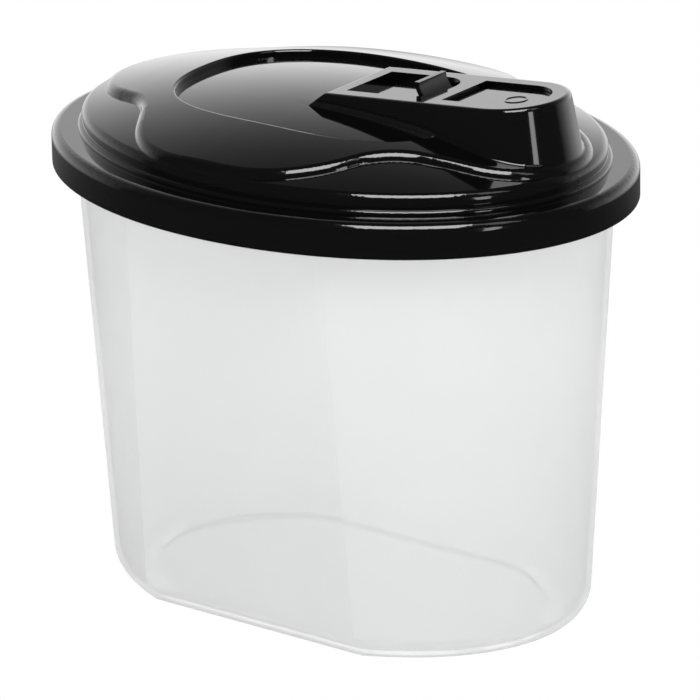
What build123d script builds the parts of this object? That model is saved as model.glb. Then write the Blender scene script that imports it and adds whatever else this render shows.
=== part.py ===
"""Cereal container: a tapered oval tub, a domed press-on lid and a rocking spout flap.

Millimetres.  The origin is the middle of the base, +Z is up, +X points along the oval
towards the spout and +Y to the back.  The part is the same on both sides of Y = 0.
"""
from build123d import *
import math
import os

os.makedirs("parts", exist_ok=True)

# ---------------------------------------------------------------- container
base_length = 166.6          # oval at the foot, outside
base_width = 121.0
tub_height = 147.7           # foot to the top of the rim
tub_wall = 1.6
floor_thickness = 2.0
foot_radius = 9.0            # rounding between wall and foot
foot_ring_width = 14.0       # flat ring that the container stands on
foot_push_up = 1.4           # how far the middle of the floor is pushed up
panel_depth_foot = 8.0       # how deep the flat side panel cuts into the oval, at the foot
panel_depth_rim = 5.7        # and at the rim, if it went that far
panel_top = 135.2            # where the flat panel starts to run out to the oval
panel_run_out = 45.0         # degrees, slope of that run-out
rim_overhang = 7.3           # lid edge to the outside of the container's mouth, per side
rim_thickness = 2.0

# ---------------------------------------------------------------- lid
lid_length = 200.0
lid_width = 152.2
lid_wall = 1.8
skirt_height = 11.0          # lower edge of the skirt to the top of the ring
skirt_shoulder = 2.8         # rounding of the ring's outer shoulder
tier_inset = 8.5             # step between ring and first plateau
tier_rise = 1.5
tier_rounding = 1.1
plateau_inset = 9.8          # wall of the first plateau
plateau_rounding = 2.6
crown_height = 27.8          # skirt edge to the highest point of the first plateau's dome
crown_radius_long = 376.0    # dome radius seen from the front
crown_radius_wide = 206.0    # dome radius seen from the end
seat_clearance = 0.5         # rim flange inside the skirt, per side
plug_clearance = 0.4         # plug ring inside the mouth, per side
plug_wall = 1.4
plug_depth = 5.0

# second plateau: a waisted outline that closes round the spout, as a polygon whose corners
# are rounded: (along X, half width, rounding radius) from the spout end to the tail
wave_corners = [
    (lid_length / 2 + 50.8, 0.0, 25.9),              # the spout end's sides would meet here
    (lid_length / 2 - 57.0, 32.6, 30.0),             # waist on the spout side
    (24.0, lid_width / 2 - 13.5, 38.0),              # shoulders of the middle lobe
    (-32.4, lid_width / 2 - 13.5, 33.0),
    (48.3 - lid_length / 2, 31.3, 26.0),             # waist on the tail side
    (-36.4 - lid_length / 2, 0.0, 27.6),             # the tail's sides would meet here
]
wave_rise = 2.3
wave_edge_rounding = 3.2     # larger than the rise, so the edge slopes all the way down
wave_foot_spread = 2.2       # corner outline to the foot of that edge

# oval recess in the top
recess_centre = -0.3
recess_half_length = 53.0
recess_half_width = 38.5
recess_fullness = 2.8        # 2 is an ellipse, more is squarer
recess_depth = 2.5
recess_wall_slope = 70.0     # degrees from level
recess_rim_rounding = 0.8

# ---------------------------------------------------------------- spout housing on the lid
housing_setback = 100.0      # lid's spout end back to the mark that "along" sizes count from
housing_rise = 30.9          # skirt edge to the housing's top line at that mark
housing_slope = 5.23         # degrees, the top climbs towards the spout
housing_half_width = 17.4
housing_nose_centre = 66.5   # centre of the round nose, along the top
housing_draft = 7.0
housing_edge_rounding = 1.5
housing_foot_rounding = 1.0   # where its sides meet the second plateau
housing_ramp_start = 6.5     # where the ramp at the inner end meets the top
housing_ramp_angle = 34.0
well_start = 11.0            # thumb well, along the top
bar_start = 42.0             # bridge between well and spout recess
bar_width = 5.5
bar_thickness = 2.5          # bridge; the thumb well's shallow floor lies as deep
well_half_width = 11.8       # thumb well, bridge and flap recess
well_corner = 9.0            # rounding of the well's corners at the bridge
pocket_start = 31.5          # deep pocket that the thumb tab swings down into
pocket_depth = 16.5
flap_recess_length = 30.8
flap_recess_depth = 1.4      # top of the housing to the top of the flap
well_wall = 1.6

# ---------------------------------------------------------------- flap
flap_clearance = 0.35        # round the flap in its recess
flap_seat_gap = 0.3          # flap over the mouth's seat
flap_thickness = 1.8
barrel_radius = 2.0
barrel_clearance = 0.4       # barrel to bar, and barrel to the mouth's wall
pin_radius = 1.5
pin_clearance = 0.08         # radial, running fit
pin_length = 1.3             # past the flap's side
arm_gap = 0.55               # flap's arm under the bar
arm_thickness = 1.7
tab_radius = 7.0             # curl of the thumb tab, at mid thickness
tab_sweep = 92.0             # degrees
tab_half_width = 7.0
mouth_ledge = 1.4            # seat round the pour mouth
mouth_start_gap = 2.1        # barrel to the pour mouth
spout_tube_depth = 15.0      # top of the housing to the spout tube's lower edge
stopper_clearance = 0.4
stopper_wall = 1.2
stopper_depth = 1.4
gate_mark_radius = 3.7       # moulding mark on the flap
gate_mark_width = 0.5
gate_mark_rise = 0.25
gate_mark_place = 67.2

# ---------------------------------------------------------------- worked out
skirt_edge = tub_height - (skirt_height - lid_wall)      # height of the skirt's lower edge
lid_underside = tub_height                               # the ring rests on the rim
mouth_half_length = lid_length / 2 - rim_overhang
mouth_half_width = lid_width / 2 - rim_overhang
reach = lid_length + lid_width                           # longer than any cut needs to be
touching = 0.01                                          # distance at which forms share an edge
flap_recess_start = bar_start + bar_width
flap_recess_end = flap_recess_start + flap_recess_length
hinge_along = flap_recess_start + barrel_clearance + barrel_radius
hinge_depth = flap_recess_depth + barrel_radius
seat_depth = flap_recess_depth + flap_thickness + flap_seat_gap
mouth_start = hinge_along + barrel_radius + mouth_start_gap
mouth_half_opening = well_half_width - mouth_ledge
mouth_end = flap_recess_end - mouth_ledge - flap_clearance
pocket_end = hinge_along + barrel_radius + barrel_clearance

# The housing's top plane: its local X climbs along the top, its local Z points out of it.
slope = math.radians(housing_slope)
housing_top = Plane(
    origin=(lid_length / 2 - housing_setback, 0, skirt_edge + housing_rise),
    x_dir=(math.cos(slope), 0, math.sin(slope)),
    z_dir=(-math.sin(slope), 0, math.cos(slope)),
)


def oval_prism(half_length, half_width, bottom, top):
    """Upright prism on an ellipse centred on the container."""
    return extrude(Pos(0, 0, bottom) * Ellipse(half_length, half_width), top - bottom)


def top_edges(solid):
    """Edges round the highest flat or domed face of a prism."""
    return solid.faces().sort_by(Axis.Z)[-1].outer_wire().edges()


def side_profile(points, half_width):
    """Prism across the housing, from a profile of (along, depth) points on its middle plane."""
    frame = Plane(origin=housing_top.origin, x_dir=housing_top.x_dir, z_dir=(0, -1, 0))
    face = make_face(Polyline(*[(along, -depth) for along, depth in points], close=True))
    return extrude(frame * face, half_width, both=True)


def housing_prism(outline, depth_from, depth_to):
    """Prism square to the housing's top, between two depths under it."""
    return extrude(housing_top * Pos(0, 0, -depth_from) * outline, depth_from - depth_to)


# ================================================================ container
def tapered_oval(inset, bottom, top):
    """The tub's oval, tapering from foot to rim, with its surface moved in by inset."""
    def at(height):
        part_way = height / tub_height
        half_length = base_length / 2 + (mouth_half_length - base_length / 2) * part_way
        half_width = base_width / 2 + (mouth_half_width - base_width / 2) * part_way
        return Pos(0, 0, height) * Ellipse(half_length - inset, half_width - inset)
    return loft([at(bottom), at(top)], ruled=True)


def panel_cutter(inset, bottom):
    """Wedge that leaves the flat panel on the front, run out to the oval under the rim."""
    at_foot = base_width / 2 - panel_depth_foot - inset
    at_rim = mouth_half_width - panel_depth_rim - inset
    lean = (at_rim - at_foot) / tub_height
    rise = math.tan(math.radians(panel_run_out))
    shift = inset / math.cos(math.radians(90 - panel_run_out)) - inset / rise
    start = panel_top - shift
    outer = mouth_half_width * 2
    profile = [
        (-(at_foot + lean * bottom), bottom),
        (-(at_foot + lean * start), start),
        (-outer, start + (outer - at_foot - lean * start) * rise),
        (-outer, bottom),
    ]
    return extrude(Plane.YZ * make_face(Polyline(*profile, close=True)), reach, both=True)


def tub_form(inset, bottom, radius):
    """Solid body of the tub, with both flat panels and a rounded foot."""
    solid = tapered_oval(inset, bottom, tub_height)
    front = panel_cutter(inset, bottom)
    solid = solid - front - mirror(front, Plane.XZ)
    foot = solid.faces().sort_by(Axis.Z)[0].outer_wire().edges()
    return fillet(foot, radius)


def foot_pocket(inset, bottom, top):
    """The pushed-up middle of the floor: the foot's outline, moved in."""
    solid = tapered_oval(inset, bottom, top)
    front = panel_cutter(inset, bottom)
    return solid - front - mirror(front, Plane.XZ)


def make_container():
    body = tub_form(0, 0, foot_radius)
    rim = oval_prism(
        lid_length / 2 - lid_wall - seat_clearance,
        lid_width / 2 - lid_wall - seat_clearance,
        tub_height - rim_thickness,
        tub_height,
    )
    inside = tub_form(tub_wall, floor_thickness, foot_radius - tub_wall)
    inside -= foot_pocket(foot_ring_width + floor_thickness, 0, floor_thickness + foot_push_up)
    body = body + rim - inside
    body -= foot_pocket(foot_ring_width, 0, foot_push_up)
    return body


# ================================================================ lid
def crown(apex):
    """Everything under the dome whose top point stands apex above the skirt's edge."""
    top = skirt_edge + apex
    disc = Pos(0, top - crown_radius_wide) * Circle(crown_radius_wide)
    window = Pos(0, top - crown_radius_wide / 2) * Rectangle(lid_width * 1.2, crown_radius_wide)
    profile = Plane.YZ * (disc & window)
    hub = Axis((0, 0, top - crown_radius_long), (0, 1, 0))
    swing = math.degrees(math.asin(lid_length * 0.56 / crown_radius_long))
    return revolve(profile.rotate(hub, -swing), hub, 2 * swing)


def wave_outline(inset=0.0):
    """Closed outline of the second plateau."""
    front = [(x, -y, radius) for x, y, radius in reversed(wave_corners[1:-1])]
    corners = wave_corners + front
    points = [(x, y) for x, y, radius in corners]
    radii = [radius for x, y, radius in corners]
    face = make_face(FilletPolyline(*points, radius=radii, close=True))
    return offset(face, wave_foot_spread - inset)


def recess_outline(inset=0.0):
    """Closed squarish oval of the recess."""
    count = 28
    power = 2 / recess_fullness
    points = []
    for step in range(count):
        turn = 2 * math.pi * step / count
        c = math.cos(turn)
        s = math.sin(turn)
        x = (recess_half_length - inset) * math.copysign(abs(c) ** power, c)
        y = (recess_half_width - inset) * math.copysign(abs(s) ** power, s)
        points.append((recess_centre + x, y))
    return make_face(Spline(*points, periodic=True))


def upright(face):
    """Prism on a plan outline, from the skirt's edge to well above the lid."""
    return extrude(Pos(0, 0, skirt_edge) * face, 2 * crown_height)


def recess_form(grow, floor):
    """The recess as a solid with sloping walls, moved out by grow, down to the dome at floor."""
    top = crown_height + wave_rise + recess_depth
    bottom = top - 2 * crown_height / 3
    spread = 1 / math.tan(math.radians(recess_wall_slope))
    rim = crown_height + wave_rise - recess_half_length**2 / (2 * crown_radius_long)
    sections = [
        Pos(0, 0, skirt_edge + height) * recess_outline((rim - height) * spread - grow)
        for height in (bottom, top)
    ]
    return loft(sections, ruled=True) - crown(floor)


def housing_outline(inset=0.0):
    """Plan of the housing's top, with the round nose towards the spout."""
    half = housing_half_width - inset
    strip = Pos(housing_nose_centre / 2 - half, 0) * Rectangle(housing_nose_centre + 2 * half, 2 * half)
    return strip + Pos(housing_nose_centre, 0) * Circle(half)


def slot_outline(start, end, half_width):
    """Plan of a slot with a square start and a round end."""
    straight = end - half_width - start
    strip = Pos(start + straight / 2, 0) * Rectangle(straight, 2 * half_width)
    return strip + Pos(end - half_width, 0) * Circle(half_width)


def make_housing():
    drop = housing_rise - skirt_height
    solid = extrude(housing_top * housing_outline(), -drop, taper=-housing_draft)
    lean = math.tan(math.radians(housing_ramp_angle))
    back = housing_ramp_start - drop / lean
    side = [
        (back, drop),
        (housing_ramp_start, 0),
        (housing_nose_centre + 2 * housing_half_width, 0),
        (housing_nose_centre + 2 * housing_half_width, drop),
    ]
    solid = solid & side_profile(side, 2 * housing_half_width)
    top = solid.faces().sort_by(Axis((0, 0, 0), housing_top.z_dir))[-1]
    return fillet(top.outer_wire().edges(), housing_edge_rounding)


def shared_edges(solid, one, other):
    """Edges of solid on the surfaces of both forms, up to where the nose turns."""
    found = []
    for edge in solid.edges():
        middle = edge.position_at(0.5)
        point = Vertex(middle.X, middle.Y, middle.Z)
        if not recess_half_length + recess_centre < middle.X < housing_nose_centre + housing_half_width:
            continue
        if one.distance_to(point) < touching and other.distance_to(point) < touching:
            found.append(edge)
    return found


def plan_box(start, end, half_width):
    """Rectangle in the housing's top plane."""
    return Pos((start + end) / 2, 0) * Rectangle(end - start, 2 * half_width)


def well_outline():
    """Plan of the thumb well: square at the inner end, rounded at the bridge."""
    face = plan_box(well_start, bar_start, well_half_width)
    return fillet(face.vertices().sort_by(Axis.X)[-2:], well_corner)


def make_lid():
    ring = oval_prism(lid_length / 2, lid_width / 2, skirt_edge, skirt_edge + skirt_height)
    ring = fillet(top_edges(ring), skirt_shoulder)
    tier = oval_prism(
        lid_length / 2 - tier_inset,
        lid_width / 2 - tier_inset,
        skirt_edge,
        skirt_edge + skirt_height + tier_rise,
    )
    tier = fillet(top_edges(tier), tier_rounding)
    plateau = upright(Ellipse(lid_length / 2 - plateau_inset, lid_width / 2 - plateau_inset))
    plateau = plateau & crown(crown_height)
    plateau = fillet(top_edges(plateau), plateau_rounding)
    wave = upright(wave_outline()) & crown(crown_height + wave_rise)
    wave = fillet(top_edges(wave), wave_edge_rounding)
    shell = ring + tier + plateau + wave
    floor = crown_height + wave_rise - recess_depth
    shell -= recess_form(0, floor)
    tail = (recess_centre - recess_half_length, 0, skirt_edge + crown_height)
    loops = shell.faces().sort_by_distance(tail)[0].edges().sort_by(Axis.Z)
    shell = fillet(loops[-1:], recess_rim_rounding)
    housing = make_housing()
    joined = shell + housing
    shell = fillet(shared_edges(joined, housing, wave), housing_foot_rounding)

    # the hollow under the lid
    hollow = oval_prism(
        lid_length / 2 - lid_wall,
        lid_width / 2 - lid_wall,
        skirt_edge,
        lid_underside,
    )
    inset = plateau_inset + lid_wall
    under_plateau = upright(Ellipse(lid_length / 2 - inset, lid_width / 2 - inset))
    dome_hollow = under_plateau & crown(crown_height - lid_wall)
    wave_hollow = upright(wave_outline(lid_wall)) & crown(crown_height + wave_rise - lid_wall)
    recess_pan = recess_form(lid_wall, floor - lid_wall)
    housing_hollow = extrude(
        housing_top * Pos(0, 0, -lid_wall) * housing_outline(lid_wall),
        -(housing_rise - skirt_height),
        taper=-housing_draft,
    )
    ramp_shift = lid_wall / math.sin(math.radians(housing_ramp_angle))
    lean = math.tan(math.radians(housing_ramp_angle))
    inner_side = [
        (housing_ramp_start + ramp_shift - housing_rise / lean, housing_rise),
        (housing_ramp_start + ramp_shift, 0),
        (housing_nose_centre + housing_half_width, 0),
        (housing_nose_centre + 2 * housing_half_width, housing_rise),
    ]
    housing_hollow = housing_hollow & side_profile(inner_side, 2 * housing_half_width)
    hollow += (dome_hollow + wave_hollow - recess_pan) + housing_hollow

    # walls that hang in that hollow: thumb well, flap recess and spout tube
    grown_half = well_half_width + well_wall
    well_floor = plan_box(well_start - well_wall, pocket_start, grown_half)
    walls = housing_prism(well_floor, 0, bar_thickness + well_wall)
    pocket_case = plan_box(pocket_start - well_wall, pocket_end + well_wall, grown_half)
    walls += housing_prism(pocket_case, 0, pocket_depth + well_wall)
    recess = slot_outline(flap_recess_start, flap_recess_end, well_half_width)
    walls += housing_prism(offset(recess, well_wall), 0, seat_depth + well_wall)
    mouth = slot_outline(mouth_start, mouth_end, mouth_half_opening)
    walls += housing_prism(offset(mouth, well_wall), seat_depth, spout_tube_depth)
    lid = shell - (hollow - walls)

    # the openings themselves
    lid -= housing_prism(well_outline(), 0, bar_thickness)
    pocket = plan_box(pocket_start, pocket_end, well_half_width)
    lid -= housing_prism(pocket, bar_thickness, pocket_depth)
    lid -= housing_prism(recess, 0, seat_depth)
    lid -= housing_prism(mouth, 0, 2 * spout_tube_depth)
    pin_hole = Cylinder(pin_radius + pin_clearance, 2 * (well_half_width + well_wall + lid_wall))
    lid -= housing_top * Pos(hinge_along, 0, -hinge_depth) * Rot(90, 0, 0) * pin_hole

    plug_outer_length = mouth_half_length - tub_wall - plug_clearance
    plug_outer_width = mouth_half_width - tub_wall - plug_clearance
    plug = oval_prism(plug_outer_length, plug_outer_width, lid_underside - plug_depth, lid_underside)
    plug -= oval_prism(
        plug_outer_length - plug_wall,
        plug_outer_width - plug_wall,
        lid_underside - plug_depth,
        lid_underside,
    )
    return lid + plug


# ================================================================ flap
def make_flap():
    half = well_half_width - flap_clearance
    arm_top = bar_thickness + arm_gap
    panel = housing_prism(
        slot_outline(hinge_along, flap_recess_end - flap_clearance, half),
        flap_recess_depth,
        flap_recess_depth + flap_thickness,
    )
    at_hinge = housing_top * Pos(hinge_along, 0, -hinge_depth) * Rot(90, 0, 0)
    barrel = at_hinge * Cylinder(barrel_radius, 2 * half)
    pins = at_hinge * Cylinder(pin_radius, 2 * (half + pin_length))
    arm = housing_prism(
        plan_box(bar_start, hinge_along, tab_half_width),
        arm_top,
        arm_top + arm_thickness,
    )
    # the tab curls up from the arm's end, about a line above it
    inner = tab_radius - arm_thickness / 2
    outer = tab_radius + arm_thickness / 2
    curl_height = inner - arm_top
    band = Circle(outer) - Circle(inner)
    sector = make_face(Polyline(
        (0, 0),
        (0, -2 * outer),
        (-2 * outer, -2 * outer),
        (-2 * outer * math.sin(math.radians(tab_sweep)), -2 * outer * math.cos(math.radians(tab_sweep))),
        close=True,
    ))
    frame = Plane(origin=housing_top.origin, x_dir=housing_top.x_dir, z_dir=(0, -1, 0))
    tab = extrude(frame * Pos(bar_start, curl_height) * (band & sector), tab_half_width, both=True)
    stopper_outline = slot_outline(
        mouth_start + stopper_clearance,
        mouth_end - stopper_clearance,
        mouth_half_opening - stopper_clearance,
    )
    stopper = housing_prism(
        stopper_outline - offset(stopper_outline, -stopper_wall),
        flap_recess_depth + flap_thickness,
        flap_recess_depth + flap_thickness + stopper_depth,
    )
    mark = Pos(gate_mark_place, 0) * (Circle(gate_mark_radius) - Circle(gate_mark_radius - gate_mark_width))
    gate_mark = housing_prism(mark, flap_recess_depth - gate_mark_rise, flap_recess_depth)
    return panel + barrel + pins + arm + tab + stopper + gate_mark


export_step(make_container(), "parts/container.step")
export_step(make_lid(), "parts/lid.step")
export_step(make_flap(), "parts/spout_flap.step")
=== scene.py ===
"""Cereal container with a flip spout: finishes, floor, light and camera.

Metres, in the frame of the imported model: +X towards the spout, +Y to the back, +Z up.
"""
import math

import bmesh
import bpy
from mathutils import Matrix, Vector


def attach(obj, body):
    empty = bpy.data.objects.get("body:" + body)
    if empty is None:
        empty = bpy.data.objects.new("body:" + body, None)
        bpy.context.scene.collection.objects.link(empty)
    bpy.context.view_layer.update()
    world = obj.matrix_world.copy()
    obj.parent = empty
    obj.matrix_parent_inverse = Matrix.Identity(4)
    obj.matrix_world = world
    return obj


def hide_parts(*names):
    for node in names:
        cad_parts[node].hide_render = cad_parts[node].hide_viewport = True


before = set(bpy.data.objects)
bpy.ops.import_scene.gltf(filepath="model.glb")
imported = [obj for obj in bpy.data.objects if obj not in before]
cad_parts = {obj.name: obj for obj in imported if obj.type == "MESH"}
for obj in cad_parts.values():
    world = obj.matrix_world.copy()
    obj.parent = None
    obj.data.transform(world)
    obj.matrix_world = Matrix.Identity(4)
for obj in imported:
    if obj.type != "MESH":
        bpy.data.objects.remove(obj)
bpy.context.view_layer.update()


# ------------------------------------------------------------------ shader maths
class Sock:
    """A shader socket that takes part in plain expressions, such as 0.3 + 0.1 * grain."""

    def __init__(self, finish, socket):
        self.finish = finish
        self.socket = socket

    def _maths(self, operation, number):
        return self.finish.node("ShaderNodeMath", {"operation": operation}, {0: number, 1: self})

    def __radd__(self, number):
        return self._maths("ADD", number)

    def __rmul__(self, number):
        return self._maths("MULTIPLY", number)


class Finish:
    """A node material with one Principled shader."""

    def __init__(self, name, **settings):
        self.material = bpy.data.materials.new(name)
        self.material.use_nodes = True
        self.tree = self.material.node_tree
        self.shader = self.tree.nodes["Principled BSDF"]
        self.output = self.tree.nodes["Material Output"]
        for socket, value in settings.items():
            self.put(socket.replace("_", " "), value)

    def node(self, kind, settings=None, inputs=None, output=0):
        """Adds a node: its own settings first, then the values or links of its sockets."""
        made = self.tree.nodes.new(kind)
        for key, value in (settings or {}).items():
            setattr(made, key, value)
        for key, value in (inputs or {}).items():
            self.feed(made.inputs[key], value)
        return Sock(self, made.outputs[output])

    def feed(self, socket, value):
        if isinstance(value, Sock):
            self.tree.links.new(value.socket, socket)
        else:
            socket.default_value = value

    def put(self, name, value):
        self.feed(self.shader.inputs[name], value)

    def noise(self, scale, detail):
        """Noise over the piece's own coordinates."""
        place = self.node("ShaderNodeTexCoord", output="Object")
        return self.node(
            "ShaderNodeTexNoise",
            inputs={"Vector": place, "Scale": scale, "Detail": detail},
        )

    def bump(self, height, distance):
        bumped = self.node("ShaderNodeBump", inputs={"Height": height, "Distance": distance})
        self.put("Normal", bumped)


PLASTIC_IOR = 1.49


def black_gloss(name, shade):
    """High-gloss moulded polypropylene: nearly black, with a faint ripple from the mould."""
    colour = (shade, shade, shade * 1.05, 1)
    finish = Finish(name, Base_Color=colour, IOR=PLASTIC_IOR, Coat_Weight=1.0)
    finish.put("Coat Roughness", 0.05)
    ripple = finish.noise(scale=110.0, detail=2.0)
    haze = finish.noise(scale=900.0, detail=4.0)
    finish.put("Roughness", 0.075 + 0.03 * haze)
    finish.bump(ripple, distance=0.000012)
    return finish.material


def milky_plastic(name):
    """Natural polypropylene: white and translucent, softly clouded."""
    finish = Finish(name, IOR=PLASTIC_IOR)
    cloud = finish.noise(scale=14.0, detail=2.0)
    grain = finish.noise(scale=700.0, detail=3.0)
    finish.put("Base Color", finish.node(
        "ShaderNodeMix",
        {"data_type": "RGBA"},
        {"Factor": cloud, "A": (0.86, 0.863, 0.866, 1), "B": (0.90, 0.903, 0.905, 1)},
        output="Result",
    ))
    finish.put("Roughness", 0.30 + 0.08 * grain)
    finish.put("Alpha", 0.42 + 0.08 * cloud)
    finish.bump(grain, distance=0.00001)
    return finish.material


def dress(node, material):
    """Gives a carried-over node its finish."""
    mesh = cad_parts[node].data
    mesh.materials.clear()
    mesh.materials.append(material)


# ------------------------------------------------------------------ lid
MERGE_DISTANCE = 2e-6
RECESS_MIDDLE = -0.0003      # the lid's oval recess, as modelled
RECESS_HALF = (0.053, 0.0385)
RECESS_FULLNESS = 2.8
FOOT_BAND = (0.8, 1.05)      # where the foot of its wall lies; 1 is the outline of its rim
FOOT_LOWEST = 0.155
WALL_UPRIGHT = (0.15, 0.55)  # upward part of the wall's normals, as modelled
FLOOR_UPRIGHT = 0.96         # least upward part of the floor's normals
WALL_STEEPENING = 0.0007     # how far the foot of the wall moves outwards
WALL_NORMAL = math.radians(5)


def is_wall(face):
    return WALL_UPRIGHT[0] < face.normal.z < WALL_UPRIGHT[1]


def recess_foot(place, faces):
    """Outward direction at a corner on the foot of the recess's wall; None for any other corner."""
    across = abs(place.x - RECESS_MIDDLE) / RECESS_HALF[0]
    along = abs(place.y) / RECESS_HALF[1]
    reach = across ** RECESS_FULLNESS + along ** RECESS_FULLNESS
    if not FOOT_BAND[0] < reach < FOOT_BAND[1] or place.z < FOOT_LOWEST:
        return None
    walls = [
        face for face in faces
        if is_wall(face) and face.calc_center_median().z > place.z
        and face.normal.x * (place.x - RECESS_MIDDLE) + face.normal.y * place.y < 0
    ]
    if not walls or max(face.normal.z for face in faces) < FLOOR_UPRIGHT:
        return None
    inward = sum((face.normal for face in walls), Vector())
    return Vector((-inward.x, -inward.y, 0)).normalized()


def steeper(normal):
    """The same bearing, at the slope of a nearly upright wall."""
    level = Vector((normal.x, normal.y, 0)).normalized()
    return level * math.cos(WALL_NORMAL) + Vector((0, 0, math.sin(WALL_NORMAL)))


def moulded_lid(material):
    """The lid in one skin, with its recess's wall as steep as in the photograph."""
    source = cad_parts["lid"]
    turn = source.matrix_world.to_3x3()
    normals = [turn @ corner.vector for corner in source.data.corner_normals]
    form = bmesh.new()
    form.from_mesh(source.data)
    form.transform(source.matrix_world)
    form.normal_update()
    doubles = bmesh.ops.find_doubles(form, verts=form.verts, dist=MERGE_DISTANCE)
    same = doubles["targetmap"]
    touching = {}
    for face in form.faces:
        for corner in face.verts:
            touching.setdefault(same.get(corner, corner), []).append(face)
    number = {corner: count for count, corner in enumerate(touching)}
    moves = {corner: recess_foot(corner.co, faces) for corner, faces in touching.items()}
    corners = [
        corner.co if move is None else corner.co + move * WALL_STEEPENING
        for corner, move in moves.items()
    ]
    faces, shading = [], []
    for face in form.faces:
        own = [same.get(loop.vert, loop.vert) for loop in face.loops]
        if len(set(own)) < len(own):
            continue
        moved = is_wall(face) and any(moves[corner] is not None for corner in own)
        faces.append([number[corner] for corner in own])
        for loop in face.loops:
            normal = normals[loop.index]
            shading.append(steeper(normal) if moved else normal)
    mesh = bpy.data.meshes.new("lid_moulding")
    mesh.from_pydata(corners, [], faces)
    mesh.shade_smooth()
    mesh.normals_split_custom_set(shading)
    mesh.materials.append(material)
    form.free()
    lid = bpy.data.objects.new("lid_moulding", mesh)
    bpy.context.scene.collection.objects.link(lid)
    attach(lid, "lid")
    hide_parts("lid")


dress("container", milky_plastic("milky_polypropylene"))
moulded_lid(black_gloss("black_polypropylene", 0.002))
dress("spout_flap", black_gloss("black_polypropylene_flap", 0.0025))

# ------------------------------------------------------------------ camera
PHOTO_SIDE = 700
VIEW_AZIMUTH = math.radians(37.44)
VIEW_ELEVATION = math.radians(18.2)
VIEW_ROLL = math.radians(-1.12)
VIEW_DISTANCE = 1.8797
FOCAL_PIXELS = 6000.0
AIM_HEIGHT = 0.1385
AIM_PIXEL = (343.0, 172.4)


def make_camera():
    """Camera at the photograph's angle, from the point that lands on a known pixel."""
    sine, cosine = math.sin(VIEW_AZIMUTH), math.cos(VIEW_AZIMUTH)
    level = math.cos(VIEW_ELEVATION)
    back = Vector((sine * level, -cosine * level, math.sin(VIEW_ELEVATION)))
    right = Vector((cosine, sine, 0.0))
    up = back.cross(right)
    place = Vector((0, 0, AIM_HEIGHT)) + back * VIEW_DISTANCE
    image_right = right * math.cos(VIEW_ROLL) + up * math.sin(VIEW_ROLL)
    image_up = up * math.cos(VIEW_ROLL) - right * math.sin(VIEW_ROLL)
    middle = PHOTO_SIDE / 2
    across = (AIM_PIXEL[0] - middle) / FOCAL_PIXELS
    above = (middle - AIM_PIXEL[1]) / FOCAL_PIXELS
    z_axis = (back + image_right * across + image_up * above).normalized()
    x_axis = (image_right - z_axis * image_right.dot(z_axis)).normalized()
    y_axis = z_axis.cross(x_axis)
    data = bpy.data.cameras.new("camera")
    data.sensor_width = 36.0
    data.lens = data.sensor_width * FOCAL_PIXELS / PHOTO_SIDE
    data.clip_end = 50.0
    camera = bpy.data.objects.new("camera", data)
    bpy.context.scene.collection.objects.link(camera)
    turn = [[x_axis[row], y_axis[row], z_axis[row], place[row]] for row in range(3)]
    camera.matrix_world = Matrix(turn + [[0, 0, 0, 1]])
    bpy.context.scene.camera = camera


make_camera()


# ------------------------------------------------------------------ floor and light
FLOOR_HALF = 0.27            # small enough that the lid's skirt does not mirror it
LAMP_TARGET = Vector((0, 0, 0.13))
LAMP_DISTANCE = 1.6

WALL_AZIMUTH = -150.0        # a pale wall behind the container, which its gloss mirrors
WALL_RADIANCE = 1.02
WALL_SPREAD = (1.3, -0.05)   # slope and start of its brightness, against how far a ray faces it
WALL_FALL = 3.5              # how fast it darkens with height
TABLE_EDGE = (4.0, 1.3)      # slope and start of its brightness from below the table upwards
ROOM_RADIANCE = 0.035        # what the gloss mirrors elsewhere
EVEN_RADIANCE = 1.62         # light on the milky plastic, from the sides
EVEN_FALL = -2.4             # how fast that light goes with height
KEY_SIDE = 40.0              # the side that the key softbox lights gets a little less of it
KEY_SIDE_DIP = 0.1


def make_floor():
    mesh = bpy.data.meshes.new("floor")
    corners = [(-1, -1), (1, -1), (1, 1), (-1, 1)]
    mesh.from_pydata([(x * FLOOR_HALF, y * FLOOR_HALF, 0) for x, y in corners], [], [(0, 1, 2, 3)])
    floor = bpy.data.objects.new("floor", mesh)
    bpy.context.scene.collection.objects.link(floor)
    finish = Finish("floor_white", Base_Color=(0.9, 0.9, 0.9, 1), Roughness=0.6)
    tree = finish.tree
    from_camera = finish.node("ShaderNodeLightPath", output="Is Camera Ray")
    glow = finish.node("ShaderNodeEmission", inputs={"Color": (1, 1, 1, 1), "Strength": 1.0})
    mix = finish.node("ShaderNodeMixShader", inputs={0: from_camera}).socket.node
    tree.links.new(finish.shader.outputs[0], mix.inputs[1])
    tree.links.new(glow.socket, mix.inputs[2])
    tree.links.new(mix.outputs[0], finish.output.inputs["Surface"])
    mesh.materials.append(finish.material)


def area_light(name, azimuth, elevation, size, radiance):
    """Softbox of size (width, height) metres that faces the container, with the radiance given."""
    turn, tilt = math.radians(azimuth), math.radians(elevation)
    level = math.cos(tilt)
    back = Vector((math.sin(turn) * level, -math.cos(turn) * level, math.sin(tilt)))
    data = bpy.data.lights.new(name, "AREA")
    data.shape = "RECTANGLE"
    data.size, data.size_y = size
    data.energy = radiance * math.pi * size[0] * size[1]
    lamp = bpy.data.objects.new(name, data)
    lamp.location = LAMP_TARGET + back * LAMP_DISTANCE
    lamp.rotation_mode = "QUATERNION"
    lamp.rotation_quaternion = back.to_track_quat("Z", "Y")
    bpy.context.scene.collection.objects.link(lamp)


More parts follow.
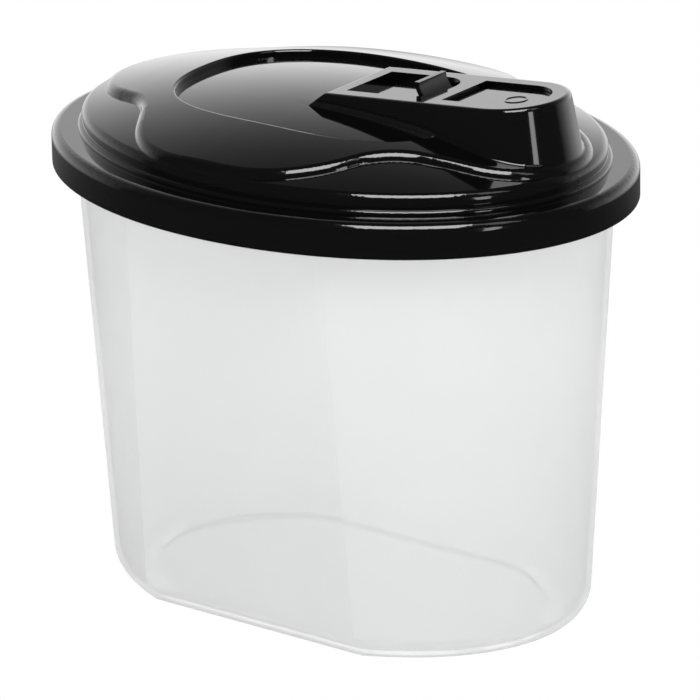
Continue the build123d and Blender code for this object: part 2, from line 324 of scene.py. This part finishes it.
def make_world():
    """White where the camera looks past the container; for its gloss, a pale wall in a dim room."""
    world = bpy.data.worlds.new("studio")
    world.use_nodes = True
    bpy.context.scene.world = world
    tree = world.node_tree
    background = tree.nodes["Background"]

    def maths(operation, *values, clamp=False):
        made = tree.nodes.new("ShaderNodeMath")
        made.operation = operation
        made.use_clamp = clamp
        for place, value in enumerate(values):
            if isinstance(value, bpy.types.NodeSocket):
                tree.links.new(value, made.inputs[place])
            else:
                made.inputs[place].default_value = value
        return made.outputs[0]

    paths = tree.nodes.new("ShaderNodeLightPath").outputs
    direction = tree.nodes.new("ShaderNodeTexCoord").outputs["Generated"]
    parts = tree.nodes.new("ShaderNodeSeparateXYZ")
    tree.links.new(direction, parts.inputs[0])

    def toward(azimuth):
        """Level part of the direction that points to this azimuth, -1 to 1."""
        turn = math.radians(azimuth)
        along = maths("MULTIPLY", parts.outputs["X"], math.sin(turn))
        return maths("MULTIPLY_ADD", parts.outputs["Y"], -math.cos(turn), along)

    height = parts.outputs["Z"]
    upper = maths("MAXIMUM", height, 0.0)
    square = maths("MULTIPLY", upper, upper)

    facing = maths("MULTIPLY_ADD", toward(WALL_AZIMUTH), *WALL_SPREAD, clamp=True)
    fall = maths("POWER", maths("SUBTRACT", 1.0, square), WALL_FALL)
    above_table = maths("MULTIPLY_ADD", height, *TABLE_EDGE, clamp=True)
    shown = maths("MULTIPLY", maths("MULTIPLY", facing, fall), above_table)
    mirrored = maths("MULTIPLY_ADD", shown, WALL_RADIANCE, ROOM_RADIANCE)

    soft = maths("MULTIPLY_ADD", toward(KEY_SIDE), -KEY_SIDE_DIP * EVEN_RADIANCE, EVEN_RADIANCE)
    sideways = maths("MULTIPLY_ADD", square, EVEN_FALL, 1.0, clamp=True)
    even = maths("MULTIPLY", soft, sideways)

    glossy = paths["Is Glossy Ray"]
    rough = maths("MULTIPLY", maths("SUBTRACT", 1.0, glossy), even)
    room = maths("MULTIPLY_ADD", mirrored, glossy, rough)
    seen = maths("MAXIMUM", paths["Is Camera Ray"], paths["Is Transmission Ray"])
    hidden = maths("SUBTRACT", 1.0, seen)
    tree.links.new(maths("MULTIPLY_ADD", room, hidden, seen), background.inputs["Strength"])
    background.inputs["Color"].default_value = (1, 1, 1, 1)


make_floor()
make_world()
area_light("key_softbox", azimuth=35, elevation=61, size=(0.90, 0.98), radiance=5.8)
area_light("fill_softbox", azimuth=84, elevation=54, size=(0.33, 0.7), radiance=0.9)
area_light("side_strip", azimuth=67, elevation=6, size=(0.24, 0.5), radiance=2.7)

bpy.context.scene.view_settings.view_transform = "Standard"

bpy.context.view_layer.update()
